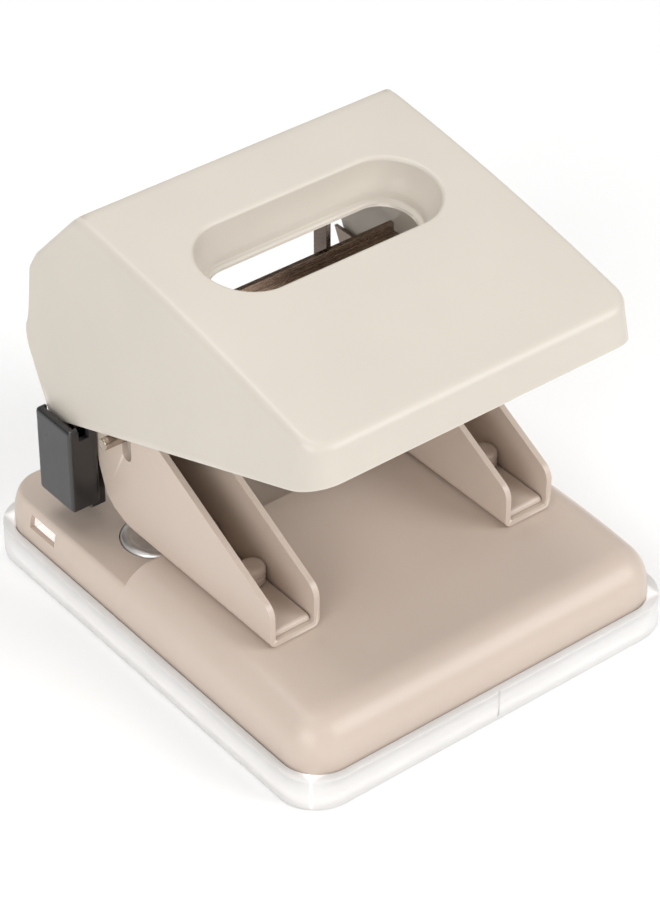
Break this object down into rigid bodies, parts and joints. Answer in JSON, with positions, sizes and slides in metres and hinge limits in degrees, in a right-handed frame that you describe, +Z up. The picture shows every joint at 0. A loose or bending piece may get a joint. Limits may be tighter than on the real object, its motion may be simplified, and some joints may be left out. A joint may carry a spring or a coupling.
{
  "type": "hole punch",
  "caption": "Two-hole desk punch with a sheet-metal lever over a pressed base, sprung punches and a push-fit chip tray.",
  "frame": {"origin": "the middle of the underside of the chip tray", "axes": "+X along the lever's hinge towards the right-hand punch, +Y from the lever's front edge back to the paper throat, +Z up"},
  "size_m": [0.127, 0.146, 0.1217],
  "materials": {
    "paint": "satin cream stoved paint",
    "base_paint": "satin beige stoved paint",
    "steel": "ground bright steel",
    "dark_steel": "blackened steel",
    "spring_steel": "yellow zinc plated wire",
    "black_plastic": "fine satin",
    "frosted_plastic": "frosted translucent"
  },
  "bodies": {
    "base": {"base_plate": "base_paint", "die_left": "steel", "die_right": "steel", "channel_left": "base_paint", "channel_right": "base_paint", "channel_plate_left": "base_paint", "channel_plate_right": "base_paint", "rivet_front_left": "base_paint", "rivet_front_right": "base_paint", "rivet_rear_left": "base_paint", "rivet_rear_right": "base_paint", "hinge_cover_left": "black_plastic", "hinge_cover_right": "black_plastic", "hinge_rod": "steel", "rod_clip_left": "steel", "rod_clip_right": "steel", "return_spring_left": "spring_steel", "return_spring_right": "spring_steel"},
    "lever": {"lever": "paint", "lever_cross_bar": "dark_steel", "press_frame": "dark_steel", "hinge_arm_left": "dark_steel", "hinge_arm_right": "dark_steel"},
    "punch_left": {"punch_left": "steel", "cross_pin_left": "steel", "spring_seat_left": "steel"},
    "punch_right": {"punch_right": "steel", "cross_pin_right": "steel", "spring_seat_right": "steel"},
    "tray": {"chip_tray": "frosted_plastic"}
  },
  "joints": [
    {"name": "lever_hinge", "type": "hinge", "parent": "base", "child": "lever", "pos_m": [0, 0.0465, 0.0465], "axis": [1, 0, 0], "range_deg": [0, 15.9], "stiffness_Nm_per_rad": 0.6, "springref_deg": -51.57},
    {"name": "punch_left_slide", "type": "slide", "parent": "base", "child": "punch_left", "axis": [0, 0, -1], "range_m": [0, 0.0068], "stiffness_N_per_m": 300, "springref_m": -0.004, "deforming": ["return_spring_left"]},
    {"name": "punch_right_slide", "type": "slide", "parent": "base", "child": "punch_right", "axis": [0, 0, -1], "range_m": [0, 0.0068], "stiffness_N_per_m": 300, "springref_m": -0.004, "deforming": ["return_spring_right"]},
    {"name": "tray_pull_off", "type": "slide", "parent": "base", "child": "tray", "axis": [0, 0, -1], "range_m": [0, 0.02]}
  ],
  "couplings": [
    {"joint": "punch_left_slide", "follows": "lever_hinge", "m_per_rad": 0.02449},
    {"joint": "punch_right_slide", "follows": "lever_hinge", "m_per_rad": 0.02449}
  ]
}
